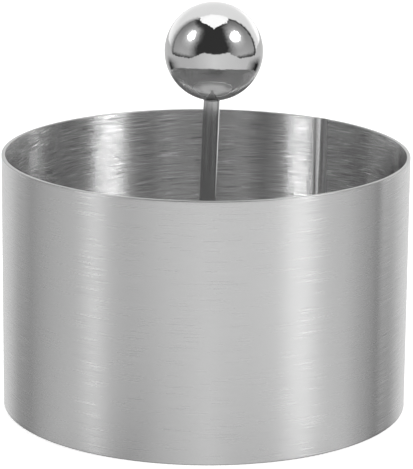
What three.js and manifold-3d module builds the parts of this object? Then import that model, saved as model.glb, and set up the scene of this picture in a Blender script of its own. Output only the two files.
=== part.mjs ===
// A ring mould for shaping rice, with a loose press plate on a rod and a ball to hold it by.
// Millimetres, +Z up. The origin is the centre of the ring's foot on the table; -Y faces the viewer.
import * as THREE from "three";
import { mergeVertices } from "three/addons/utils/BufferGeometryUtils.js";
import Module from "manifold-3d";

// Ring: a strip of sheet rolled round, its ends butted and welded along one upright seam
const RING_OUTER_DIAMETER = 80;
const RING_HEIGHT = 50.8;
const RING_WALL = 0.7;
const RIM_ROUNDING = 0.2;

// Seam weld: ground flush outside, left as a low bead inside
const SEAM_BEARING = 36.7; // degrees from +Y towards +X
const SEAM_WIDTH = 3.1;
const SEAM_CROWN = 0.35;
const SEAM_GAP = 0.05; // between the weld and each end of the strip

// Press plate: a flat disc with a rounded edge, loose in the ring
const PLATE_CLEARANCE = 1.2; // from ring to plate all round when the plate is centred
const PLATE_SIDE_GAP = 0.3; // what is left of it on the -X side, where the plate lies close
const PLATE_THICKNESS = 1.2;
const PLATE_EDGE_ROUNDING = 0.45;

// Rod: plain bar welded to the plate a little out of square, with a turned spigot for the ball
const ROD_DIAMETER = 3.2;
const ROD_LENGTH = 60.1; // from foot to shoulder
const ROD_LEAN = 1.85; // degrees towards +X
const ROD_CHAMFER = 0.2;
const ROD_FOOT_GAP = 0.05; // root gap between the rod's lowest edge and the plate
const SPIGOT_STEP = 0.35; // from the rod's surface in to the spigot's
const SPIGOT_LENGTH = 7;
const SPIGOT_CHAMFER = 0.4;

// Weld bead round the rod's foot
const FOOT_WELD_LEG = 1.3;
const FOOT_WELD_GAP = 0.1; // between the bead's bore and the leaning rod

// Ball: solid, with a spot-faced blind hole that screws down on the spigot
const BALL_DIAMETER = 19.2;
const SEAT_MARGIN = 0.2; // how far the spot face reaches beyond the rod's edge
const SEAT_GAP = 0.05; // between the spot face and the rod's shoulder
const HOLE_CLEARANCE = 0.06; // between the hole and the spigot all round
const HOLE_CHAMFER = 0.2;
const HOLE_SPARE_DEPTH = 0.8; // past the spigot's tip
const HOLE_POINT_ANGLE = 118; // degrees across the drill point

// Fineness of the round surfaces
const RING_SEGMENTS = 128;
const BALL_SEGMENTS = 48;
const BALL_STEPS = 24;
const ROD_SEGMENTS = 32;
const CORNER_STEPS = 3;
const BEAD_STEPS = 8;

// A rounded corner takes at most this share of the thickness that it rounds
const LARGEST_ROUNDING = 0.4;
// Vertices closer than this are one vertex when a mesh becomes a solid
const MERGE_DISTANCE = 1e-4;

const { degToRad } = THREE.MathUtils;
const ringOuterRadius = RING_OUTER_DIAMETER / 2;
const ringInnerRadius = ringOuterRadius - RING_WALL;
const plateRadius = ringInnerRadius - PLATE_CLEARANCE;
const plateShift = PLATE_SIDE_GAP - PLATE_CLEARANCE;
const rodRadius = ROD_DIAMETER / 2;
const rodLean = degToRad(ROD_LEAN);
const spigotRadius = rodRadius - SPIGOT_STEP;
const ballRadius = BALL_DIAMETER / 2;
const seatRadius = rodRadius + SEAT_MARGIN;
const seatDrop = Math.sqrt(ballRadius ** 2 - seatRadius ** 2);

const brushedSteel = new THREE.MeshStandardMaterial({ color: 0xb6b6b6, roughness: 0.38, metalness: 1 });
const polishedSteel = new THREE.MeshStandardMaterial({ color: 0xd2d2d2, roughness: 0.06, metalness: 1 });
const drawnSteel = new THREE.MeshStandardMaterial({ color: 0xbcbcbc, roughness: 0.18, metalness: 1 });
const weldSteel = new THREE.MeshStandardMaterial({ color: 0x9a9a9a, roughness: 0.45, metalness: 1 });

const wasm = await Module();
wasm.setup();

function toSolid(geometry) {
  geometry.deleteAttribute("normal");
  geometry.deleteAttribute("uv");
  const merged = mergeVertices(geometry, MERGE_DISTANCE);
  const vertProperties = merged.attributes.position.array;
  const triVerts = new Uint32Array(merged.index.array);
  return new wasm.Manifold(new wasm.Mesh({ numProp: 3, vertProperties, triVerts }));
}

function toGeometry(solid) {
  const { vertProperties, triVerts } = solid.getMesh();
  const geometry = new THREE.BufferGeometry();
  geometry.setAttribute("position", new THREE.BufferAttribute(vertProperties, 3));
  geometry.setIndex(new THREE.BufferAttribute(triVerts, 1));
  geometry.computeVertexNormals();
  return geometry;
}

// Points of an arc in the profile plane, from one angle in degrees to another
function arc(centreRadius, centreHeight, radius, from, to, steps) {
  const points = [];
  for (let i = 0; i <= steps; i++) {
    const angle = degToRad(from + ((to - from) * i) / steps);
    const across = centreRadius + radius * Math.cos(angle);
    points.push(new THREE.Vector2(across, centreHeight + radius * Math.sin(angle)));
  }
  return points;
}

function point(radius, height) {
  return new THREE.Vector2(radius, height);
}

// A profile of radii and heights turned round the Z axis
function turned(profile, segments) {
  return new THREE.LatheGeometry(profile, segments).rotateX(Math.PI / 2);
}

function mesh(name, geometry, material) {
  const made = new THREE.Mesh(geometry, material);
  made.name = name;
  return made;
}

function makeRing() {
  const rounding = Math.min(RIM_ROUNDING, LARGEST_ROUNDING * RING_WALL);
  const outer = ringOuterRadius - rounding;
  const inner = ringInnerRadius + rounding;
  const top = RING_HEIGHT - rounding;
  const profile = [
    ...arc(outer, rounding, rounding, -90, 0, CORNER_STEPS),
    ...arc(outer, top, rounding, 0, 90, CORNER_STEPS),
    ...arc(inner, top, rounding, 90, 180, CORNER_STEPS),
    ...arc(inner, rounding, rounding, 180, 270, CORNER_STEPS),
  ];
  profile.push(profile[0].clone());
  const hoop = toSolid(turned(profile, RING_SEGMENTS));

  const slotWidth = SEAM_WIDTH + 2 * SEAM_GAP;
  const slot = new THREE.BoxGeometry(slotWidth, ringOuterRadius, 2 * RING_HEIGHT);
  slot.translate(0, ringOuterRadius, 0);
  slot.rotateZ(-degToRad(SEAM_BEARING));
  return mesh("mould_ring", toGeometry(hoop.subtract(toSolid(slot))), brushedSteel);
}

// Plan of the weld: flush with the ring outside, bulging past the wall inside
function makeSeamWeld() {
  const half = SEAM_WIDTH / 2;
  const crownRadius = (half ** 2 + SEAM_CROWN ** 2) / (2 * SEAM_CROWN);
  const crownSpread = Math.asin(half / crownRadius);
  const innerEdge = Math.sqrt(ringInnerRadius ** 2 - half ** 2);
  const crownCentre = innerEdge - SEAM_CROWN + crownRadius;
  const outerSpread = Math.asin(half / ringOuterRadius);
  const plan = new THREE.Shape();
  plan.moveTo(-half, innerEdge);
  plan.absarc(0, crownCentre, crownRadius, -Math.PI / 2 - crownSpread, -Math.PI / 2 + crownSpread, false);
  plan.absarc(0, 0, ringOuterRadius, Math.PI / 2 - outerSpread, Math.PI / 2 + outerSpread, false);
  plan.closePath();
  const bead = new THREE.ExtrudeGeometry(plan, {
    depth: RING_HEIGHT,
    bevelEnabled: false,
    curveSegments: BEAD_STEPS,
  });
  const weld = mesh("seam_weld", bead, weldSteel);
  weld.rotation.z = -degToRad(SEAM_BEARING);
  return weld;
}

function makePlate() {
  const rounding = Math.min(PLATE_EDGE_ROUNDING, LARGEST_ROUNDING * PLATE_THICKNESS);
  const edge = plateRadius - rounding;
  const profile = [
    point(0, 0),
    ...arc(edge, rounding, rounding, -90, 0, CORNER_STEPS),
    ...arc(edge, PLATE_THICKNESS - rounding, rounding, 0, 90, CORNER_STEPS),
    point(0, PLATE_THICKNESS),
  ];
  return mesh("push_plate", turned(profile, RING_SEGMENTS), brushedSteel);
}

// The bead stands upright on the plate, so its bore leaves room for the rod to lean
function makeFootWeld() {
  const bore = rodRadius / Math.cos(rodLean) + FOOT_WELD_LEG * Math.tan(rodLean) + FOOT_WELD_GAP;
  const reach = bore + FOOT_WELD_LEG;
  const profile = [point(bore, 0)];
  for (let i = 0; i <= BEAD_STEPS; i++) {
    const angle = ((Math.PI / 2) * i) / BEAD_STEPS;
    const across = bore + (reach - bore) * Math.cos(angle);
    profile.push(point(across, FOOT_WELD_LEG * Math.sin(angle)));
  }
  profile.push(point(bore, 0));
  const weld = mesh("rod_weld", turned(profile, ROD_SEGMENTS), weldSteel);
  weld.position.z = PLATE_THICKNESS;
  return weld;
}

function makeRod() {
  const tip = ROD_LENGTH + SPIGOT_LENGTH;
  const profile = [
    point(0, 0),
    point(rodRadius - ROD_CHAMFER, 0),
    point(rodRadius, ROD_CHAMFER),
    point(rodRadius, ROD_LENGTH),
    point(spigotRadius, ROD_LENGTH),
    point(spigotRadius, tip - SPIGOT_CHAMFER),
    point(spigotRadius - SPIGOT_CHAMFER, tip),
    point(0, tip),
  ];
  return mesh("push_rod", turned(profile, ROD_SEGMENTS), drawnSteel);
}

// Heights are from the ball's centre; the hole opens downwards in the spot face
function makeBall() {
  const holeRadius = spigotRadius + HOLE_CLEARANCE;
  const holeEnd = SPIGOT_LENGTH + HOLE_SPARE_DEPTH - SEAT_GAP - seatDrop;
  const drillPoint = holeRadius / Math.tan(degToRad(HOLE_POINT_ANGLE) / 2);
  const seatAngle = THREE.MathUtils.radToDeg(Math.atan2(-seatDrop, seatRadius));
  const profile = [
    point(0, holeEnd + drillPoint),
    point(holeRadius, holeEnd),
    point(holeRadius, HOLE_CHAMFER - seatDrop),
    point(holeRadius + HOLE_CHAMFER, -seatDrop),
    ...arc(0, 0, ballRadius, seatAngle, 90, BALL_STEPS),
  ];
  profile.at(-1).x = 0;
  const ball = mesh("ball_knob", turned(profile, BALL_SEGMENTS), polishedSteel);
  ball.position.z = ROD_LENGTH + SEAT_GAP + seatDrop;
  return ball;
}

const ring = new THREE.Group();
ring.add(makeRing(), makeSeamWeld());

const handle = new THREE.Group();
handle.position.z = PLATE_THICKNESS + ROD_FOOT_GAP + rodRadius * Math.sin(rodLean);
handle.rotation.y = rodLean;
handle.add(makeRod(), makeBall());

const pusher = new THREE.Group();
pusher.position.x = plateShift;
pusher.add(makePlate(), makeFootWeld(), handle);

const mould = new THREE.Group();
mould.add(ring, pusher);

export default mould;
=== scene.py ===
"""Looks of the rice ball mould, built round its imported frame. Metres, +Z up, -Y towards the viewer."""
import math

import bpy
from mathutils import Matrix, Vector, noise


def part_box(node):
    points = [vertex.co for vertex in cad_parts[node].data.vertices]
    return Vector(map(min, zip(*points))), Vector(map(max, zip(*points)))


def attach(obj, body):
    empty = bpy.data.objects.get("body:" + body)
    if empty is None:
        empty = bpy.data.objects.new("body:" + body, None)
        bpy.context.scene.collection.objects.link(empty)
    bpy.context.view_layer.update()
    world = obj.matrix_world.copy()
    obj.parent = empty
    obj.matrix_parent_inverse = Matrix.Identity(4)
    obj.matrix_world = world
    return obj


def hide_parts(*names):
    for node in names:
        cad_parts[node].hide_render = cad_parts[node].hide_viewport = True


MM = 0.001
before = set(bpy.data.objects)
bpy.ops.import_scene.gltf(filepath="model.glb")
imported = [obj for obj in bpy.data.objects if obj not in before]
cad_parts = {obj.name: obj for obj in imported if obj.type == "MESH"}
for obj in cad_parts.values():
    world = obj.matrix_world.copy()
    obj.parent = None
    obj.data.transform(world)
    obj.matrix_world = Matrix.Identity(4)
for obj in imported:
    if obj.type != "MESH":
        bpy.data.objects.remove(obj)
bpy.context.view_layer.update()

# Sizes that the frame's boxes don't tell, as in the part's own sizes
RING_WALL = 0.7 * MM
RIM_ROUNDING = 0.2 * MM
SEAM_BEARING = math.radians(36.7)  # from +Y towards +X
SEAM_WIDTH = 3.1 * MM
PLATE_ROUNDING = 0.45 * MM
ROD_DIAMETER = 3.2 * MM
ROD_LENGTH = 60.1 * MM  # from foot to shoulder
ROD_LEAN = math.radians(1.85)  # towards +X
ROD_CHAMFER = 0.2 * MM
SPIGOT_STEP = 0.35 * MM  # from the rod's surface in to the spigot's
SPIGOT_LENGTH = 7 * MM
SPIGOT_CHAMFER = 0.4 * MM
SEAT_MARGIN = 0.2 * MM  # how far the ball's flat seat reaches beyond the rod's edge
SEAT_GAP = 0.05 * MM  # between the seat and the rod's shoulder
HOLE_CLEARANCE = 0.06 * MM
HOLE_CHAMFER = 0.2 * MM
HOLE_SPARE_DEPTH = 0.8 * MM  # past the spigot's tip
HOLE_POINT_ANGLE = math.radians(118)
FOOT_GAP = 0.05 * MM  # between the rod's lowest edge and the plate

# Sizes read from the frame
ring_low, ring_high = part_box("mould_ring")
RING_RADIUS = (ring_high.x - ring_low.x) / 2
RING_HEIGHT = ring_high.z - ring_low.z
INNER_RADIUS = RING_RADIUS - RING_WALL
MIDDLE_RADIUS = RING_RADIUS - RING_WALL / 2
plate_low, plate_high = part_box("push_plate")
PLATE_RADIUS = (plate_high.x - plate_low.x) / 2
PLATE_TOP = plate_high.z
PLATE_CENTRE = (plate_low + plate_high) / 2
weld_low, weld_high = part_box("rod_weld")
WELD_REACH = (weld_high.x - weld_low.x) / 2
WELD_HEIGHT = weld_high.z - weld_low.z
ball_low, ball_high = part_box("ball_knob")
BALL_RADIUS = (ball_high.x - ball_low.x) / 2
ROD_RADIUS = ROD_DIAMETER / 2
SPIGOT_RADIUS = ROD_RADIUS - SPIGOT_STEP
SEAT_RADIUS = ROD_RADIUS + SEAT_MARGIN
SEAT_DROP = math.sqrt(BALL_RADIUS ** 2 - SEAT_RADIUS ** 2)

# Where the leaning rod and ball stand
FOOT = Vector((PLATE_CENTRE.x, PLATE_CENTRE.y, PLATE_TOP + FOOT_GAP + ROD_RADIUS * math.sin(ROD_LEAN)))
HANDLE = Matrix.Translation(FOOT) @ Matrix.Rotation(ROD_LEAN, 4, "Y")
BALL_PLACE = HANDLE @ Matrix.Translation((0, 0, ROD_LENGTH + SEAT_GAP + SEAT_DROP))

# Fineness of the meshes
RING_STEPS = 360
WALL_STEPS = 16
CORNER_STEPS = 6
SEAM_ROWS = 160
SEAM_COLUMNS = 60
FLAT_STEPS = 8
PLATE_SEGMENTS = 180
BEAD_STEPS = 10
BEAD_SEGMENTS = 96
ROD_STEPS = 24
ROD_SEGMENTS = 64
BALL_STEPS = 80
BALL_SEGMENTS = 128
PANEL_SIDES = 48


# Mesh helpers

def arc(centre, radius, start, end, steps):
    """Points of an arc in the profile plane (radius, height), angles in degrees."""
    points = []
    for i in range(steps + 1):
        angle = math.radians(start + (end - start) * i / steps)
        points.append((centre[0] + radius * math.cos(angle), centre[1] + radius * math.sin(angle)))
    return points


def line(start, end, steps):
    """Points strictly between two profile points, closer together near both ends."""
    points = []
    for i in range(1, steps):
        share = (1 - math.cos(math.pi * i / steps)) / 2
        points.append((start[0] + (end[0] - start[0]) * share, start[1] + (end[1] - start[1]) * share))
    return points


def running_lengths(points):
    """How far along its path each point lies."""
    lengths = [0.0]
    for a, b in zip(points, points[1:]):
        lengths.append(lengths[-1] + math.dist(a, b))
    return lengths


def new_object(name, data):
    made = bpy.data.objects.new(name, data)
    bpy.context.scene.collection.objects.link(made)
    return made


def new_piece(name, vertices, faces, uvs, materials, face_materials=None):
    """A smooth-shaded mesh object; uvs holds one pair for each corner of each face."""
    mesh = bpy.data.meshes.new(name)
    mesh.from_pydata(vertices, [], faces)
    layer = mesh.uv_layers.new(name="surface")
    for loop, uv in zip(layer.data, uvs):
        loop.uv = uv
    for material in materials:
        mesh.materials.append(material)
    for index, polygon in enumerate(mesh.polygons):
        polygon.use_smooth = True
        if face_materials:
            polygon.material_index = face_materials[index]
    mesh.validate()
    mesh.update()
    return new_object(name, mesh)


def turned(name, profile, segments, material):
    """A profile of (radius, height) turned round Z, its UVs in metres round and along it.
    It starts and ends on the axis or closes on itself."""
    closed = profile[0] == profile[-1]
    rows = profile[:-1] if closed else profile
    lengths = running_lengths(profile)
    vertices = []
    index = {}
    for row, (radius, height) in enumerate(rows):
        for turn in range(segments):
            if radius == 0 and turn:
                index[row, turn] = index[row, 0]
                continue
            angle = 2 * math.pi * turn / segments
            index[row, turn] = len(vertices)
            vertices.append((radius * math.sin(angle), -radius * math.cos(angle), height))
    faces, uvs = [], []
    widest = max(radius for radius, height in rows)
    for row in range(len(profile) - 1):
        after = (row + 1) % len(rows)
        for turn in range(segments):
            beside = (turn + 1) % segments
            across = [widest * 2 * math.pi * t / segments for t in (turn, turn + 1)]
            corners = [
                (index[row, turn], across[0], lengths[row]),
                (index[row, beside], across[1], lengths[row]),
                (index[after, beside], across[1], lengths[row + 1]),
                (index[after, turn], across[0], lengths[row + 1]),
            ]
            kept = []
            for corner in corners:
                if corner[0] not in [k[0] for k in kept]:
                    kept.append(corner)
            faces.append([k[0] for k in kept])
            uvs.extend((k[1], k[2]) for k in kept)
    return new_piece(name, vertices, faces, uvs, [material])


# Shader helpers

STREAK_ROUGHNESS = 0.6  # how strongly finer noise shows in the streaks
RELIEF_HEIGHT = 0.004 * MM
QUARTER_TURN = 0.25


def new_metal(name):
    """A metal's material, its node tree and its shader."""
    material = bpy.data.materials.new(name)
    material.use_nodes = True
    tree = material.node_tree
    surface = tree.nodes["Principled BSDF"]
    surface.inputs["Metallic"].default_value = 1.0
    return material, tree, surface


def bare_material(name):
    """A material whose node tree is empty."""
    material = bpy.data.materials.new(name)
    material.use_nodes = True
    material.node_tree.nodes.clear()
    return material, material.node_tree


def add(tree, kind, settings=None, inputs=None, links=None):
    """A node with its settings, socket values and incoming links."""
    node = tree.nodes.new(kind)
    for key, value in (settings or {}).items():
        setattr(node, key, value)
    for key, value in (inputs or {}).items():
        node.inputs[key].default_value = value
    for key, socket in (links or {}).items():
        tree.links.new(socket, node.inputs[key])
    return node


def feed(tree, surface, values):
    """Links values to the shader's sockets by their names."""
    for name, value in values.items():
        tree.links.new(value, surface.inputs[name])


def coordinates(tree, kind):
    return add(tree, "ShaderNodeTexCoord").outputs[kind]


def parts_of(tree, vector):
    return add(tree, "ShaderNodeSeparateXYZ", {}, {}, {"Vector": vector}).outputs


def streaks(tree, vector, along, across, tilt, detail):
    """Noise drawn out into lines: along and across are the lines' sizes along X and Y in metres."""
    turned_uv = add(tree, "ShaderNodeMapping", {}, {"Rotation": (0, 0, tilt)}, {"Vector": vector})
    mapping = add(tree, "ShaderNodeMapping", {}, {"Scale": (1 / along, 1 / across, 1)},
                  {"Vector": turned_uv.outputs["Vector"]})
    return add(tree, "ShaderNodeTexNoise", {"noise_dimensions": "2D"},
               {"Scale": 1.0, "Detail": detail, "Roughness": STREAK_ROUGHNESS},
               {"Vector": mapping.outputs["Vector"]}).outputs["Fac"]


def speckle(tree, vector, scale, detail):
    """Noise with scale grains to the metre."""
    inputs = {"Scale": scale, "Detail": detail}
    return add(tree, "ShaderNodeTexNoise", {}, inputs, {"Vector": vector}).outputs


def ranged(tree, value, low, high, start=0.25, end=0.75):
    """The run from start to end carried over to low to high, and held beyond. Noise mostly lies in the
    default run."""
    limits = {"From Min": start, "From Max": end, "To Min": low, "To Max": high}
    return add(tree, "ShaderNodeMapRange", {}, limits, {"Value": value}).outputs["Result"]


def grey(tree, value):
    parts = {"Red": value, "Green": value, "Blue": value}
    return add(tree, "ShaderNodeCombineColor", {}, {}, parts).outputs["Color"]


def maths(tree, operation, first, second):
    """One step of arithmetic on sockets or plain numbers."""
    node = add(tree, "ShaderNodeMath", {"operation": operation})
    for socket, value in zip(node.inputs, (first, second)):
        if isinstance(value, (int, float)):
            socket.default_value = value
        else:
            tree.links.new(value, socket)
    return node.outputs["Value"]


def distance(tree, value, place):
    return maths(tree, "ABSOLUTE", maths(tree, "SUBTRACT", value, place), 0.0)


def reach(tree, vector):
    return add(tree, "ShaderNodeVectorMath", {"operation": "LENGTH"}, {}, {0: vector}).outputs["Value"]


def strayed(tree, by, normal=None):
    """The surface's normal, or another, led astray by a small vector."""
    straight = normal or add(tree, "ShaderNodeNewGeometry").outputs["Normal"]
    summed = add(tree, "ShaderNodeVectorMath", {"operation": "ADD"}, {}, {0: straight, 1: by})
    whole = add(tree, "ShaderNodeVectorMath", {"operation": "NORMALIZE"}, {}, {0: summed.outputs["Vector"]})
    return whole.outputs["Vector"]


def relief(tree, height, strength):
    """The normal of a finish with fine relief."""
    inputs = {"Strength": strength, "Distance": RELIEF_HEIGHT}
    return add(tree, "ShaderNodeBump", {}, inputs, {"Height": height}).outputs["Normal"]


def brush_round(tree, surface, stretch, slant):
    """Spreads reflections up and down a wall brushed round Z, turned by slant degrees. stretch goes from 0,
    not at all, to 1. The way that the brush went comes back."""
    tangent = add(tree, "ShaderNodeTangent", {"direction_type": "RADIAL", "axis": "Z"}).outputs["Tangent"]
    tree.links.new(tangent, surface.inputs["Tangent"])
    surface.inputs["Anisotropic"].default_value = stretch
    surface.inputs["Anisotropic Rotation"].default_value = QUARTER_TURN + slant / 360
    return tangent


# Finishes; a pair of tones or of roughness is what the grain's two extremes have

BROAD_LENGTH = 4  # how many times longer than the brush strokes the broad streaks are
BROAD_WIDTH = 8  # how many times wider
BROAD_FAINTNESS = 12  # how many times fainter
STROKE_POWER = 3.0  # leaves a few strokes strong and most faint
GROOVE = 0.01 * MM  # half the spacing of the fine grooves
GROOVE_POWER = 3.0  # leaves most of a groove's slope slight

RIM_GRAIN = 2500.0  # to the metre
RIM_TONE = (0.36, 0.46)
RIM_ROUGHNESS = (0.3, 0.4)

BALL_HAZE = 180.0  # to the metre
BALL_TONE = (0.6, 0.63)
BALL_ROUGHNESS = (0.03, 0.07)
BALL_GRAIN = 0.35 * MM
BALL_STRAY = 0.07  # how far the grain leads the normal astray

ROD_LINE = (0.25 * MM, 40 * MM)  # width and length of a drawn line
ROD_TONE = (0.38, 0.52)
ROD_ROUGHNESS = 0.13
ROD_NOD = 0.012  # how far the rod's surface faces down
MARK_PLACE = ROD_RADIUS * math.radians(74)  # way round from the front, rightwards
MARK_WIDTH = ROD_RADIUS * math.radians(20)
MARK_EDGE = (0.4, 0.6)  # where the mark ends, from its middle, as shares of its width
MARK_TILT = 0.6  # how far the mark's surface faces up
MARK_SHADE_LINE_EDGE = (0.3, 0.6)  # where the painted shade line left of the mark ends, likewise
MARK_PAINTED_SHADE_TONE = -0.1  # what the painted shade line left of the mark adds to the rod's tone

PLATE_LINE = (14 * MM, 0.25 * MM)  # length and width of a fine line
PLATE_LINE_TURN = 0.2
PLATE_TONE = (0.58, 0.7)
PLATE_ROUGHNESS = (0.36, 0.46)
PLATE_HIGHLIGHT_BAND = 1.1 * MM  # how far in from its edge the plate is painted brighter, as a highlight
PAINTED_HIGHLIGHT_TONE = 0.28  # painted highlight: what the edge band adds to the plate's tone
EDGE_BAND_SMOOTHNESS = 0.14  # what the edge band takes from the plate's roughness

WELD_GRAIN = 1500.0  # to the metre
WELD_TONE = (0.54, 0.66)
WELD_SPREAD = 0.1  # the roughness's spread, as a share of it


def brushed_steel(name, tone, contrast, stroke, tilt, lean, groove, roughness, grit, slant):
    """Steel brushed round an upright wall, so reflections spread up and down. stroke is a brush stroke's
    length and width, tilt its slope, lean how far it leans up or down, groove the steepest slope of the
    fine grooves, grit how much rougher the lightest strokes are, slant what the brushing turns reflections
    by, in degrees."""
    material, tree, surface = new_metal(name)
    tangent = brush_round(tree, surface, 1.0, slant)
    uv = coordinates(tree, "UV")
    length, width = stroke
    fine = streaks(tree, uv, length, width, tilt, detail=1)
    broad = streaks(tree, uv, length * BROAD_LENGTH, width * BROAD_WIDTH, tilt, detail=2)
    strokes = maths(tree, "POWER", ranged(tree, fine, -1, 1), STROKE_POWER)
    faint = contrast / BROAD_FAINTNESS
    shade = maths(tree, "ADD", maths(tree, "MULTIPLY", strokes, contrast), ranged(tree, broad, -faint, faint))
    height = parts_of(tree, uv)["Y"]
    wave = ranged(tree, maths(tree, "PINGPONG", height, GROOVE), -1, 1, 0.0, GROOVE)
    steep = maths(tree, "MULTIPLY", maths(tree, "POWER", wave, GROOVE_POWER), groove)
    leaning = maths(tree, "ADD", maths(tree, "MULTIPLY", strokes, lean), steep)
    across = maths(tree, "MULTIPLY", leaning, math.tan(math.radians(slant)))
    sideways = add(tree, "ShaderNodeVectorMath", {"operation": "SCALE"}, {}, {0: tangent, "Scale": across})
    upward = add(tree, "ShaderNodeCombineXYZ", {}, {}, {"Z": leaning})
    lifted = add(tree, "ShaderNodeVectorMath", {"operation": "ADD"}, {},
                 {0: sideways.outputs["Vector"], 1: upward.outputs["Vector"]})
    feed(tree, surface, {
        "Base Color": grey(tree, maths(tree, "ADD", shade, tone)),
        "Roughness": ranged(tree, strokes, roughness * (1 - grit), roughness * (1 + grit), -1, 1),
        "Normal": strayed(tree, lifted.outputs["Vector"]),
    })
    return material


def rim_steel():
    """Deburred edge with a fine grain."""
    material, tree, surface = new_metal("rim_steel")
    grain = speckle(tree, coordinates(tree, "Object"), RIM_GRAIN, 3.0)["Fac"]
    feed(tree, surface, {
        "Base Color": grey(tree, ranged(tree, grain, *RIM_TONE)),
        "Roughness": ranged(tree, grain, *RIM_ROUGHNESS),
    })
    return material


def ball_steel():
    """Mirror finish with a trace of polishing grain."""
    material, tree, surface = new_metal("ball_steel")
    place = coordinates(tree, "Object")
    haze = speckle(tree, place, BALL_HAZE, 4.0)["Fac"]
    grain = speckle(tree, place, 1 / BALL_GRAIN, 1.0)["Color"]
    stray = add(tree, "ShaderNodeVectorMath", {"operation": "SUBTRACT"}, {1: (0.5, 0.5, 0.5)}, {0: grain})
    small = add(tree, "ShaderNodeVectorMath", {"operation": "SCALE"}, {"Scale": BALL_STRAY},
                {0: stray.outputs["Vector"]})
    feed(tree, surface, {
        "Base Color": grey(tree, ranged(tree, haze, *BALL_TONE)),
        "Roughness": ranged(tree, haze, *BALL_ROUGHNESS),
        "Normal": strayed(tree, small.outputs["Vector"]),
    })
    return material


def rod_steel():
    """Bright drawn bar with fine lines along its length, one light draw mark on its right, and a line of
    painted shade, darker in the base colour, left of the mark.
    """
    material, tree, surface = new_metal("rod_steel")
    surface.inputs["Roughness"].default_value = ROD_ROUGHNESS
    uv = coordinates(tree, "UV")
    round_it = parts_of(tree, uv)["X"]
    lines = ranged(tree, streaks(tree, uv, *ROD_LINE, tilt=0, detail=3), *ROD_TONE)
    off_mark = distance(tree, round_it, MARK_PLACE)
    mark_edge = [MARK_WIDTH * share for share in MARK_EDGE]
    mark = ranged(tree, off_mark, MARK_TILT, -ROD_NOD, *mark_edge)
    # painted shade: a darker line in the base colour just left of the mark
    off_shade_line = distance(tree, round_it, MARK_PLACE - MARK_WIDTH)
    shade_line_edge = [MARK_WIDTH * share for share in MARK_SHADE_LINE_EDGE]
    groove = ranged(tree, off_shade_line, MARK_PAINTED_SHADE_TONE, 0.0, *shade_line_edge)
    square = add(tree, "ShaderNodeNewGeometry").outputs["Normal"]
    upright = add(tree, "ShaderNodeVectorRotate", {"rotation_type": "Y_AXIS"}, {"Angle": -ROD_LEAN},
                  {"Vector": square})
    upward = add(tree, "ShaderNodeCombineXYZ", {}, {}, {"Z": mark})
    feed(tree, surface, {
        "Base Color": grey(tree, maths(tree, "ADD", lines, groove)),
        "Normal": strayed(tree, upward.outputs["Vector"], upright.outputs["Vector"]),
    })
    return material


def plate_steel():
    """Satin sheet with fine lines across it, and a painted highlight along its edge, where it is also
    smoother.
    """
    material, tree, surface = new_metal("plate_steel")
    place = coordinates(tree, "Object")
    flat = {1: (1, 1, 0), 2: (-PLATE_CENTRE.x, -PLATE_CENTRE.y, 0)}
    from_middle = add(tree, "ShaderNodeVectorMath", {"operation": "MULTIPLY_ADD"}, flat, {0: place})
    far = reach(tree, from_middle.outputs["Vector"])
    # painted highlight: a band along the edge made brighter in the base colour, and smoother
    edge_highlight = ranged(tree, far, 0, 1, PLATE_RADIUS - PLATE_HIGHLIGHT_BAND, PLATE_RADIUS - PLATE_ROUNDING)
    lines = streaks(tree, place, *PLATE_LINE, tilt=PLATE_LINE_TURN, detail=3)
    painted_highlight = maths(tree, "MULTIPLY", edge_highlight, PAINTED_HIGHLIGHT_TONE)
    smoothed = maths(tree, "MULTIPLY", edge_highlight, EDGE_BAND_SMOOTHNESS)
    feed(tree, surface, {
        "Base Color": grey(tree, maths(tree, "ADD", ranged(tree, lines, *PLATE_TONE), painted_highlight)),
        "Roughness": maths(tree, "SUBTRACT", ranged(tree, lines, *PLATE_ROUGHNESS), smoothed),
        "Normal": relief(tree, lines, 1.0),
    })
    return material


def weld_steel(name, roughness, stretch, slant):
    """Dressed weld metal; stretch and slant spread and turn its reflections as on the brushed wall."""
    material, tree, surface = new_metal(name)
    brush_round(tree, surface, stretch, slant)
    grain = speckle(tree, coordinates(tree, "Object"), WELD_GRAIN, 4.0)["Fac"]
    rough = ranged(tree, grain, roughness * (1 + WELD_SPREAD), roughness * (1 - WELD_SPREAD))
    feed(tree, surface, {
        "Base Color": grey(tree, ranged(tree, grain, *WELD_TONE)),
        "Roughness": rough,
        "Normal": relief(tree, grain, 0.5),
    })
    return material


# Ring

WAVE_HEIGHT = 0.02 * MM
WAVE_LENGTH = 22 * MM  # of the waves round the wall
WAVE_RATIO = 0.5  # how long they are round the wall, as a share of their length up it
SEAM_STEP = 0.34 * MM  # between the inner faces of the strip's two ends
SEAM_STEP_REACH = 14 * MM  # from the seam to where the strip is true again
OUTSIDE, INSIDE, RIM = range(3)  # the ring's materials


def wall_wave(angle, height):
    """How far the rolled wall strays from a true round, outwards."""
    across, along = RING_RADIUS * math.sin(angle), RING_RADIUS * math.cos(angle)
    return WAVE_HEIGHT * noise.noise(Vector((across, along, height * WAVE_RATIO)) / WAVE_LENGTH)


def end_offset(way):
    """How far the inner face lies outwards, by the way along the strip from its end right of the seam."""
    return SEAM_STEP * max(0.0, 1 - way / SEAM_STEP_REACH) ** 2


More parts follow.
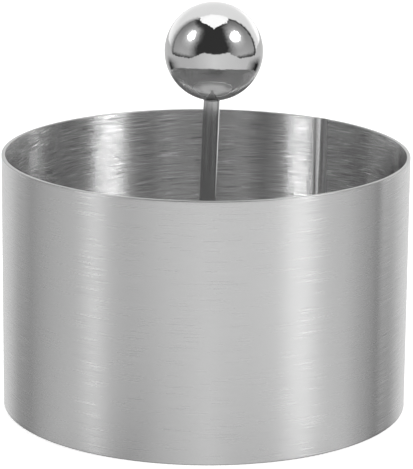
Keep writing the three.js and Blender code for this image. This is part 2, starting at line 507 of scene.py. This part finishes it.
def ring_section():
    """The wall's section from the foot's outer corner up, over the rim and down inside, with the material
    of the face that follows each point."""
    outer, inner = RING_RADIUS - RIM_ROUNDING, INNER_RADIUS + RIM_ROUNDING
    low, high = RIM_ROUNDING, RING_HEIGHT - RIM_ROUNDING
    section, kinds = [], []

    def extend(points, kind):
        section.extend(points)
        kinds.extend([kind] * len(points))

    extend(arc((outer, low), RIM_ROUNDING, -90, 0, CORNER_STEPS)[:-1], RIM)
    extend([(RING_RADIUS, low)] + line((RING_RADIUS, low), (RING_RADIUS, high), WALL_STEPS), OUTSIDE)
    extend(arc((outer, high), RIM_ROUNDING, 0, 90, CORNER_STEPS), RIM)
    extend(arc((inner, high), RIM_ROUNDING, 90, 180, CORNER_STEPS)[:-1], RIM)
    extend([(INNER_RADIUS, high)] + line((INNER_RADIUS, high), (INNER_RADIUS, low), WALL_STEPS), INSIDE)
    extend(arc((inner, low), RIM_ROUNDING, 180, 270, CORNER_STEPS), RIM)
    return section, kinds


def make_ring(materials):
    """The strip rolled round, from the seam's right side to its left."""
    section, kinds = ring_section()
    count = len(section)
    slot = math.asin(SEAM_WIDTH / 2 / RING_RADIUS)
    start, sweep = SEAM_BEARING + slot, 2 * math.pi - 2 * slot
    lengths = running_lengths(section + section[:1])
    vertices, faces, uvs, face_materials = [], [], [], []
    for step in range(RING_STEPS + 1):
        angle = start + sweep * step / RING_STEPS
        offset = end_offset(RING_RADIUS * (angle - start))
        for radius, height in section:
            radius += wall_wave(angle, height)
            if radius < MIDDLE_RADIUS:
                radius += offset
            vertices.append((radius * math.sin(angle), radius * math.cos(angle), height))
    for step in range(RING_STEPS):
        across = [RING_RADIUS * sweep * s / RING_STEPS for s in (step, step + 1)]
        for row in range(count):
            after = (row + 1) % count
            here, there = step * count, (step + 1) * count
            faces.append((here + row, here + after, there + after, there + row))
            uvs += [(across[0], lengths[row]), (across[0], lengths[row + 1]),
                    (across[1], lengths[row + 1]), (across[1], lengths[row])]
            face_materials.append(kinds[row])
    caps = len(vertices)
    vertices += vertices[:count] + vertices[-count:]
    faces += [tuple(range(caps + count - 1, caps - 1, -1)), tuple(range(caps + count, caps + 2 * count))]
    uvs += [(0.0, 0.0)] * (2 * count)
    face_materials += [RIM, RIM]
    return new_piece("ring_band", vertices, faces, uvs, materials, face_materials)


# Seam weld

SEAM_HEIGHT = 0.055 * MM  # how high the left flank rises
SEAM_START = 0.4 * MM  # from the left edge to the bead's toe
SEAM_TOE = 0.25 * MM  # width of the bead's steep left flank
SEAM_TOE_FADE = 0.75  # the share of its height that the flank loses from SEAM_MIDDLE up to the rim
SEAM_RIDGE = 1.4 * MM  # from the left edge to where the bead bends down
SEAM_BEND = 0.5 * MM  # length of that bend
SEAM_FALL = 0.5  # slope of the right flank
SEAM_ROUND = 0.086 / MM  # curve of the bead's top
SEAM_MIDDLE = 41 * MM  # the height at which the sizes above hold
SEAM_DRIFT = 0.034  # how much the bend strays to the right with height
SEAM_VALLEY = 0.08  # slope from the foot of the right flank up to the wall
SEAM_WANDER = 0.15 * MM
SEAM_WANDER_LENGTH = 9 * MM
SEAM_RIPPLE = 0.004 * MM
SEAM_RIPPLE_WIDTH = 2 * MM
SEAM_RIPPLE_LENGTH = 1.2 * MM
SEAM_RIPPLE_SLICE = 3.0  # where the ripple's noise is cut, away from the wander's
BEAD, SEAM_END, FLUSH = range(3)  # the seam's materials


def seam_height(across, height):
    """How far the weld stands in from the wall's inner face, across from its left edge."""
    wander = SEAM_WANDER * noise.noise(Vector((0, 0, height / SEAM_WANDER_LENGTH)))
    drift = SEAM_DRIFT * (height - SEAM_MIDDLE) + wander
    rise = min(1.0, max(0.0, across - SEAM_START) / SEAM_TOE)
    upper = min(1.0, max(0.0, height - SEAM_MIDDLE) / (RING_HEIGHT - SEAM_MIDDLE))
    toe = SEAM_HEIGHT * (1 - SEAM_TOE_FADE * upper)
    bead = toe * (3 * rise ** 2 - 2 * rise ** 3)
    bead -= SEAM_ROUND * max(0.0, across - SEAM_START - SEAM_TOE) ** 2 / 2
    past = across - SEAM_RIDGE - drift
    if past > SEAM_BEND:
        bead -= SEAM_FALL * (past - SEAM_BEND / 2)
    elif past > 0:
        bead -= SEAM_FALL * past ** 2 / (2 * SEAM_BEND)
    spot = Vector((across / SEAM_RIPPLE_WIDTH, SEAM_RIPPLE_SLICE, height / SEAM_RIPPLE_LENGTH))
    valley = -SEAM_STEP - SEAM_VALLEY * (SEAM_WIDTH - across)
    return max(valley, bead + SEAM_RIPPLE * noise.noise(spot) * rise)


def make_seam(materials):
    """A bar filling the slot: flush outside, beaded inside."""
    vertices, faces, uvs, face_materials = [], [], [], []
    ring_count = 2 * (SEAM_COLUMNS + 1)
    half = SEAM_WIDTH / 2
    for row in range(SEAM_ROWS + 1):
        height = RING_HEIGHT * row / SEAM_ROWS
        for column in range(SEAM_COLUMNS + 1):
            side = half * (1 - 2 * column / SEAM_COLUMNS)
            out = math.sqrt(RING_RADIUS ** 2 - side ** 2)
            vertices.append((side, out, height))
        for column in range(SEAM_COLUMNS + 1):
            side = half * (2 * column / SEAM_COLUMNS - 1)
            deep = math.sqrt(INNER_RADIUS ** 2 - side ** 2) - seam_height(side + half, height)
            vertices.append((side, deep, height))
    for row in range(SEAM_ROWS):
        for column in range(ring_count):
            after = (column + 1) % ring_count
            here, there = row * ring_count, (row + 1) * ring_count
            faces.append((here + column, there + column, there + after, here + after))
            across = [SEAM_WIDTH * c / SEAM_COLUMNS for c in (column, column + 1)]
            along = [RING_HEIGHT * r / SEAM_ROWS for r in (row, row + 1)]
            uvs += [(across[0], along[0]), (across[0], along[1]),
                    (across[1], along[1]), (across[1], along[0])]
            face_materials.append(FLUSH if column < SEAM_COLUMNS else BEAD)
    caps = len(vertices)
    vertices += vertices[:ring_count] + vertices[-ring_count:]
    faces.append(tuple(range(caps, caps + ring_count)))
    faces.append(tuple(range(caps + 2 * ring_count - 1, caps + ring_count - 1, -1)))
    uvs += [(0.0, 0.0)] * (2 * ring_count)
    face_materials += [SEAM_END, SEAM_END]
    turn = Matrix.Rotation(-SEAM_BEARING, 4, "Z")
    vertices = [turn @ Vector(v) for v in vertices]
    return new_piece("seam_bead", vertices, faces, uvs, materials, face_materials)


# Pusher

def make_plate(material):
    edge = PLATE_RADIUS - PLATE_ROUNDING
    profile = [(0, 0)] + line((0, 0), (edge, 0), FLAT_STEPS)
    profile += arc((edge, PLATE_ROUNDING), PLATE_ROUNDING, -90, 0, CORNER_STEPS)
    profile += arc((edge, PLATE_TOP - PLATE_ROUNDING), PLATE_ROUNDING, 0, 90, CORNER_STEPS)
    profile += line((edge, PLATE_TOP), (0, PLATE_TOP), FLAT_STEPS) + [(0, PLATE_TOP)]
    piece = turned("press_plate", profile, PLATE_SEGMENTS, material)
    piece.data.transform(Matrix.Translation((PLATE_CENTRE.x, PLATE_CENTRE.y, 0)))
    return piece


def make_foot_weld(material):
    bore = WELD_REACH - WELD_HEIGHT
    profile = [(bore, 0)]
    profile += arc((bore, 0), WELD_HEIGHT, 0, 90, BEAD_STEPS)
    profile.append((bore, 0))
    piece = turned("foot_bead", profile, BEAD_SEGMENTS, material)
    piece.data.transform(Matrix.Translation((PLATE_CENTRE.x, PLATE_CENTRE.y, PLATE_TOP)))
    return piece


def make_rod(material):
    tip = ROD_LENGTH + SPIGOT_LENGTH
    profile = [(0, 0), (ROD_RADIUS - ROD_CHAMFER, 0), (ROD_RADIUS, ROD_CHAMFER)]
    profile += line((ROD_RADIUS, ROD_CHAMFER), (ROD_RADIUS, ROD_LENGTH), ROD_STEPS)
    profile += [(ROD_RADIUS, ROD_LENGTH), (SPIGOT_RADIUS, ROD_LENGTH), (SPIGOT_RADIUS, tip - SPIGOT_CHAMFER)]
    profile += [(SPIGOT_RADIUS - SPIGOT_CHAMFER, tip), (0, tip)]
    piece = turned("rod_bar", profile, ROD_SEGMENTS, material)
    piece.data.transform(HANDLE)
    return piece


def make_ball(material):
    """The ball with its blind hole, which opens downwards in a flat seat."""
    hole = SPIGOT_RADIUS + HOLE_CLEARANCE
    hole_end = SPIGOT_LENGTH + HOLE_SPARE_DEPTH - SEAT_GAP - SEAT_DROP
    seat_angle = math.degrees(math.atan2(-SEAT_DROP, SEAT_RADIUS))
    profile = [(0, hole_end + hole / math.tan(HOLE_POINT_ANGLE / 2)), (hole, hole_end)]
    profile += [(hole, HOLE_CHAMFER - SEAT_DROP), (hole + HOLE_CHAMFER, -SEAT_DROP)]
    profile += arc((0, 0), BALL_RADIUS, seat_angle, 90, BALL_STEPS)
    profile[-1] = (0, BALL_RADIUS)
    piece = turned("ball", profile, BALL_SEGMENTS, material)
    piece.data.transform(BALL_PLACE)
    return piece


# The pieces, with the node, body and slot of each

BRUSH_SLANT = 2.4
WALL_BRUSH = {"contrast": 0.03, "stroke": (9 * MM, 0.3 * MM), "tilt": 0.0, "lean": 0.004, "groove": 0.0,
              "roughness": 0.25, "grit": 0.15, "slant": -BRUSH_SLANT}
outside = brushed_steel("brushed_outside", tone=0.725, **WALL_BRUSH)
inside = brushed_steel("brushed_inside", tone=0.645, contrast=0.32, stroke=(6 * MM, 0.2 * MM), tilt=0.05,
                       lean=0.03, groove=1.05, roughness=0.21, grit=-0.04, slant=BRUSH_SLANT)
flush = brushed_steel("brushed_weld", tone=0.69, **WALL_BRUSH)
seam_metal = weld_steel("seam_metal", roughness=0.31, stretch=1.0, slant=BRUSH_SLANT)
rim = rim_steel()
foot_metal = weld_steel("foot_metal", roughness=0.3, stretch=0.0, slant=0.0)
PIECES = [
    (make_ring([outside, inside, rim]), "mould_ring", "ring", "ring_steel"),
    (make_seam([seam_metal, rim, flush]), "seam_weld", "ring", "weld_steel"),
    (make_plate(plate_steel()), "push_plate", "pusher", "plate_steel"),
    (make_foot_weld(foot_metal), "rod_weld", "pusher", "weld_steel"),
    (make_rod(rod_steel()), "push_rod", "pusher", "rod_steel"),
    (make_ball(ball_steel()), "ball_knob", "pusher", "ball_steel"),
]
for piece, node, body, slot in PIECES:
    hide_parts(node)
    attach(piece, body)


# Light panels; bearings are degrees from the front, rightwards positive, and rises degrees above the table

OBJECT_MIDDLE = Vector((0, 0, 50 * MM))  # what the panels face
AWAY = 8.0  # metres from there to a panel
LEFT_LAMP = -66.3
RIGHT_LAMP = 64.9
LAMP_RISE = 36
CORE_SPREAD = 34  # degrees that a lamp's panel takes up
CORE_RISE = 0.45  # the share of the panel's half height at which a lamp's spot halves
CORE_STEEPNESS = 4.0  # how suddenly the spot ends
TOP_RISE = 86
TOP_WIDTH = 48  # degrees that the top panel takes up
TOP_DEPTH = 38
ROUND = arc((0, 0), 1, 0, 360, PANEL_SIDES)[:-1]
WEDGE = [(1.0, 1.0), (1.0, 0.1), (0.0, -1.2), (-1.0, 0.1), (-1.0, 1.0)]


def way_to(bearing, rise):
    """The direction from the object."""
    turn, lift = math.radians(bearing), math.radians(rise)
    return Vector((math.sin(turn) * math.cos(lift), -math.cos(turn) * math.cos(lift), math.sin(lift)))


def glow(name, middle, edge, softness):
    """Light that fades from the middle to the edge over the outer share of the panel given by softness."""
    material, tree = bare_material(name)
    far = reach(tree, coordinates(tree, "UV"))
    limits = {"From Min": 1 - softness, "From Max": 1.0, "To Min": middle, "To Max": edge}
    strength = add(tree, "ShaderNodeMapRange", {"interpolation_type": "SMOOTHSTEP"}, limits, {"Value": far})
    light = add(tree, "ShaderNodeEmission", {}, {}, {"Strength": strength.outputs["Result"]})
    add(tree, "ShaderNodeOutputMaterial", {}, {}, {"Surface": light.outputs["Emission"]})
    return material


def lamp_core(name, peak, left, right):
    """A bright spot that halves at the shares of the panel's half width given for its left and right side.
    What is behind it shows through."""
    material, tree = bare_material(name)
    parts = parts_of(tree, coordinates(tree, "UV"))
    across = maths(tree, "ADD", maths(tree, "DIVIDE", maths(tree, "MAXIMUM", parts["X"], 0.0), right),
                   maths(tree, "DIVIDE", maths(tree, "MINIMUM", parts["X"], 0.0), left))
    along = maths(tree, "DIVIDE", parts["Y"], CORE_RISE)
    spot = add(tree, "ShaderNodeCombineXYZ", {}, {}, {"X": across, "Y": along}).outputs["Vector"]
    bell = maths(tree, "POWER", 0.5, maths(tree, "POWER", reach(tree, spot), CORE_STEEPNESS))
    strength = maths(tree, "MULTIPLY", bell, peak)
    light = add(tree, "ShaderNodeEmission", {}, {}, {"Strength": strength}).outputs["Emission"]
    through = add(tree, "ShaderNodeBsdfTransparent").outputs["BSDF"]
    both = add(tree, "ShaderNodeAddShader", {}, {}, {0: light, 1: through}).outputs["Shader"]
    add(tree, "ShaderNodeOutputMaterial", {}, {}, {"Surface": both})
    return material


def panel(name, bearing, rise, width, height, material, outline):
    """A flat panel, width and height in degrees, that faces the object and is hidden from the camera."""
    half_width = AWAY * math.tan(math.radians(width / 2))
    half_height = AWAY * math.tan(math.radians(height / 2))
    vertices = [(0, 0, 0)] + [(half_width * x, half_height * y, 0) for x, y in outline]
    faces = [(0, i + 1, (i + 1) % len(outline) + 1) for i in range(len(outline))]
    spots = [(0, 0)] + outline
    uvs = [spots[index] for face in faces for index in face]
    light = new_piece(name, vertices, faces, uvs, [material])
    way = way_to(bearing, rise)
    facing = (-way).to_track_quat("Z", "Y")
    light.matrix_world = Matrix.Translation(OBJECT_MIDDLE + way * AWAY) @ facing.to_matrix().to_4x4()
    light.visible_camera = False


left_core = lamp_core("left_core", peak=13.2, left=0.29, right=0.45)
right_core = lamp_core("right_core", peak=14.8, left=0.52, right=0.6)
top_glow = glow("top_panel", middle=1.6, edge=1.5, softness=0.3)
panel("left_core", LEFT_LAMP, LAMP_RISE, CORE_SPREAD, CORE_SPREAD, left_core, ROUND)
panel("right_core", RIGHT_LAMP, LAMP_RISE, CORE_SPREAD, CORE_SPREAD, right_core, ROUND)
panel("top_panel", 0, TOP_RISE, TOP_WIDTH, TOP_DEPTH, top_glow, WEDGE)


# Floor, shade and world

FLOOR_REACH = 6.0
FLOOR_DROP = 0.02 * MM
FLOOR_TONE = 0.8
FLOOR_GLOW = 0.5

# Brightness by bearing: table, what its near sides lack of that, walls above it, brighter patches low on
# the back walls and lamp fabric in front
TABLE = [(-180, 1.0), (-157, 0.89), (-80, 0.83), (-50, 0.88), (-25, 1.02), (0, 1.18), (35, 1.1), (60, 1.04),
         (85, 0.98), (155, 0.9), (180, 1.0)]
DARK_SIDES = [(-180, 0), (-154, 0), (-142, 0.4), (-132, 0.86), (-121, 0.66), (-112, 0.36), (-100, 0.12),
              (-88, 0), (88, 0), (100, 0.36), (114, 0.7), (124, 0.9), (132, 0.9), (141, 0.5), (154, 0),
              (180, 0)]
WALLS = [(-180, 1.4), (-128, 1.4), (-108, 0.06), (112, 0.06), (118, 1.4), (180, 1.4)]
PATCHES = [(-180, 0), (-168, 0), (-158, 0.25), (-138, 0.25), (-128, 0), (130, 0), (140, 0.65), (160, 0.65),
           (170, 0), (180, 0)]
FABRIC = [(-180, 0), (-111, 0), (-108, 0.42), (-80, 0.55), (-62, 0.55), (-53, 0.36), (-40, 0),
          (32, 0), (46, 0.36), (60, 0.55), (78, 0.55), (107, 0.42), (110, 0), (180, 0)]

# The rise of white things at the table's far edge, by bearing; the lamps reach below the table's level
SKYLINE = [(-180, 0), (-122, 0), (-112, -9), (-58, -9), (-22, 6), (3, 2.4), (34, 6.4), (62, -9), (112, -9),
           (122, 0), (180, 0)]
SKYLINE_LIFT = 0.5  # added to the sines of these rises, because a ramp holds nothing below zero
# The rise of the lamp fabric's top, by bearing
FABRIC_TOP = [(-180, 60), (-20, 60), (20, 70), (180, 70)]

# Rises as sines
SKYLINE_BLUR = 0.01
DARK_REACH = (-0.335, -0.195)  # where the dark sides give way to the pale far table
PATCH_REACH = (0.15, 0.4)  # where the patches end
FABRIC_FOOT = (-0.137, -0.037)  # where the fabric fades into the dark room below it
FABRIC_BLUR = 0.06  # how softly its top ends
FABRIC_FADE_END = 0.85  # where it is dimmest
FABRIC_FADE = (1.25, 0.6)  # its brightness at the table's level and there

HALO = 1.4
HALO_REACH = math.radians(32)
HALO_STEEPNESS = 2.0

# How deep the soft shade before the ring's foot on the table is, by bearing
SHADE = [(-180, 0), (-52, 0), (-34, 0.2), (-22, 0.34), (-10, 0.22), (2, 0.1), (10, 0.22), (18, 0.24),
         (30, 0.2), (42, 0), (180, 0)]
SHADE_REACH = 130 * MM


def make_floor():
    """A white floor for the camera. Metal sees the world's even white table in its place."""
    mesh = bpy.data.meshes.new("floor")
    corners = [(-FLOOR_REACH, -FLOOR_REACH, 0), (FLOOR_REACH, -FLOOR_REACH, 0),
               (FLOOR_REACH, FLOOR_REACH, 0), (-FLOOR_REACH, FLOOR_REACH, 0)]
    mesh.from_pydata(corners, [], [(0, 1, 2, 3)])
    floor = new_object("floor", mesh)
    floor.location.z = -FLOOR_DROP
    floor.visible_glossy = False
    material, tree = bare_material("floor")
    material.cycles.emission_sampling = "NONE"
    colour = (FLOOR_TONE, FLOOR_TONE, FLOOR_TONE, 1)
    diffuse = add(tree, "ShaderNodeBsdfDiffuse", {}, {"Color": colour}).outputs["BSDF"]
    path = add(tree, "ShaderNodeLightPath").outputs
    strength = maths(tree, "MULTIPLY", path["Is Camera Ray"], FLOOR_GLOW)
    light = add(tree, "ShaderNodeEmission", {}, {}, {"Strength": strength}).outputs["Emission"]
    both = add(tree, "ShaderNodeAddShader", {}, {}, {0: diffuse, 1: light}).outputs["Shader"]
    add(tree, "ShaderNodeOutputMaterial", {}, {}, {"Surface": both})
    mesh.materials.append(material)


def by_bearing(tree, share, stops):
    """Values given by degrees round the object, with straight runs between them."""
    ramp = add(tree, "ShaderNodeValToRGB", {}, {}, {"Fac": share})
    elements = ramp.color_ramp.elements
    while len(elements) < len(stops):
        elements.new(1.0)
    for element, (degrees, level) in zip(elements, stops):
        element.position = (degrees + 180) / 360
        element.color = (level, level, level, 1)
    return ramp.outputs["Color"]


def bearing_share(tree, parts):
    """The bearing from the front as a share of the way round, for by_bearing."""
    front = maths(tree, "MULTIPLY", parts["Y"], -1.0)
    return ranged(tree, maths(tree, "ARCTAN2", parts["X"], front), 0, 1, -math.pi, math.pi)


def as_sines(stops, lift=0.0):
    return [(degrees, math.sin(math.radians(rise)) + lift) for degrees, rise in stops]


def make_shade():
    """The soft shade on the table, seen by the metal alone."""
    material, tree = bare_material("shade")
    place = coordinates(tree, "Object")
    depth = by_bearing(tree, bearing_share(tree, parts_of(tree, place)), SHADE)
    near = ranged(tree, reach(tree, place), 1, 0, RING_RADIUS, SHADE_REACH)
    clear = maths(tree, "SUBTRACT", 1.0, maths(tree, "MULTIPLY", depth, near))
    through = add(tree, "ShaderNodeBsdfTransparent", {}, {}, {"Color": grey(tree, clear)})
    add(tree, "ShaderNodeOutputMaterial", {}, {}, {"Surface": through.outputs["BSDF"]})
    mesh = bpy.data.meshes.new("shade")
    corners = [(SHADE_REACH * x, SHADE_REACH * y, 0) for x, y in ROUND]
    mesh.from_pydata(corners, [], [tuple(range(PANEL_SIDES))])
    mesh.materials.append(material)
    shade = new_object("shade", mesh)
    shade.location.z = -FLOOR_DROP / 2
    shade.visible_camera = False
    shade.visible_diffuse = False
    shade.visible_shadow = False


def halo(tree, way, bearing):
    """The soft glow of the fabric round a lamp."""
    lamp = way_to(bearing, LAMP_RISE)
    along = add(tree, "ShaderNodeVectorMath", {"operation": "DOT_PRODUCT"}, {1: lamp}, {0: way})
    off = maths(tree, "ARCCOSINE", along.outputs["Value"], 0.0)
    near = ranged(tree, off, 1, 0, 0.0, HALO_REACH)
    return maths(tree, "MULTIPLY", maths(tree, "POWER", near, HALO_STEEPNESS), HALO)


def fabric_light(tree, share, rise):
    """The lamps' fabric, dimmer upwards, with soft ends."""
    tops = by_bearing(tree, share, as_sines(FABRIC_TOP))
    within = ranged(tree, maths(tree, "SUBTRACT", tops, rise), 0, 1, 0.0, FABRIC_BLUR)
    hanging = ranged(tree, rise, 0, 1, *FABRIC_FOOT)
    faded = maths(tree, "MULTIPLY", within, ranged(tree, rise, *FABRIC_FADE, 0.0, FABRIC_FADE_END))
    return maths(tree, "MULTIPLY", by_bearing(tree, share, FABRIC), maths(tree, "MULTIPLY", faded, hanging))


def room_light(tree, share, rise, way):
    """Walls, lamp fabric, the glow round both lamps, and patches low on the back walls."""
    low = ranged(tree, rise, 1, 0, *PATCH_REACH)
    patches = maths(tree, "MULTIPLY", by_bearing(tree, share, PATCHES), low)
    halos = maths(tree, "ADD", halo(tree, way, LEFT_LAMP), halo(tree, way, RIGHT_LAMP))
    lit = maths(tree, "ADD", maths(tree, "ADD", fabric_light(tree, share, rise), halos), patches)
    return maths(tree, "ADD", by_bearing(tree, share, WALLS), lit)


def table_light(tree, share, rise):
    near = ranged(tree, rise, 1, 0, *DARK_REACH)
    lack = maths(tree, "MULTIPLY", by_bearing(tree, share, DARK_SIDES), near)
    return maths(tree, "SUBTRACT", by_bearing(tree, share, TABLE), lack)


def make_world():
    """White backdrop behind, a dark room in front and a white table below; plain white to the camera."""
    world = bpy.data.worlds.new("studio")
    bpy.context.scene.world = world
    world.use_nodes = True
    world.cycles.sampling_method = "NONE"
    tree = world.node_tree
    tree.nodes.clear()
    way = coordinates(tree, "Generated")
    parts = parts_of(tree, way)
    share = bearing_share(tree, parts)
    skyline = by_bearing(tree, share, as_sines(SKYLINE, SKYLINE_LIFT))
    lifted = maths(tree, "ADD", parts["Z"], SKYLINE_LIFT)
    above = ranged(tree, maths(tree, "SUBTRACT", lifted, skyline), 0, 1, -SKYLINE_BLUR, SKYLINE_BLUR)
    table = table_light(tree, share, parts["Z"])
    room = room_light(tree, share, parts["Z"], way)
    metal = add(tree, "ShaderNodeMix", {"data_type": "FLOAT"}, {}, {0: above, 2: table, 3: room})
    path = add(tree, "ShaderNodeLightPath").outputs
    seen = add(tree, "ShaderNodeMix", {"data_type": "FLOAT"}, {3: 1.0},
               {0: path["Is Camera Ray"], 2: metal.outputs[0]})
    light = add(tree, "ShaderNodeBackground", {}, {}, {"Strength": seen.outputs[0]})
    add(tree, "ShaderNodeOutputWorld", {}, {}, {"Surface": light.outputs["Background"]})


make_floor()
make_shade()
make_world()

# Camera, fitted to the ring's two rims in the photograph
CAMERA_DISTANCE = 0.54508
CAMERA_ELEVATION = math.radians(15.696)
CAMERA_TARGET = Vector((0, 0, 25 * MM))
AIM_YAW = math.radians(0.0254)
AIM_PITCH = math.radians(0.9179)
CAMERA_ROLL = math.radians(0.5014)
FOCAL_PIXELS = 2748.27
FRAME_HEIGHT = 469
SENSOR = 36.0
CLIP_START = 0.01
CLIP_END = 50


def make_camera():
    data = bpy.data.cameras.new("camera")
    data.sensor_width = SENSOR
    data.lens = FOCAL_PIXELS * SENSOR / FRAME_HEIGHT
    data.clip_start = CLIP_START
    data.clip_end = CLIP_END
    camera = new_object("camera", data)
    back = Vector((0, -math.cos(CAMERA_ELEVATION), math.sin(CAMERA_ELEVATION)))
    tilt = AIM_PITCH - CAMERA_ELEVATION
    ahead = Vector((math.sin(AIM_YAW) * math.cos(tilt), math.cos(AIM_YAW) * math.cos(tilt), math.sin(tilt)))
    right = ahead.cross(Vector((0, 0, 1))).normalized()
    up = right.cross(ahead)
    right, up = (math.cos(CAMERA_ROLL) * right + math.sin(CAMERA_ROLL) * up,
                 math.cos(CAMERA_ROLL) * up - math.sin(CAMERA_ROLL) * right)
    turn = Matrix((right, up, -ahead)).transposed().to_4x4()
    camera.matrix_world = Matrix.Translation(CAMERA_TARGET + back * CAMERA_DISTANCE) @ turn
    bpy.context.scene.camera = camera


make_camera()
bpy.context.scene.view_settings.view_transform = "Standard"
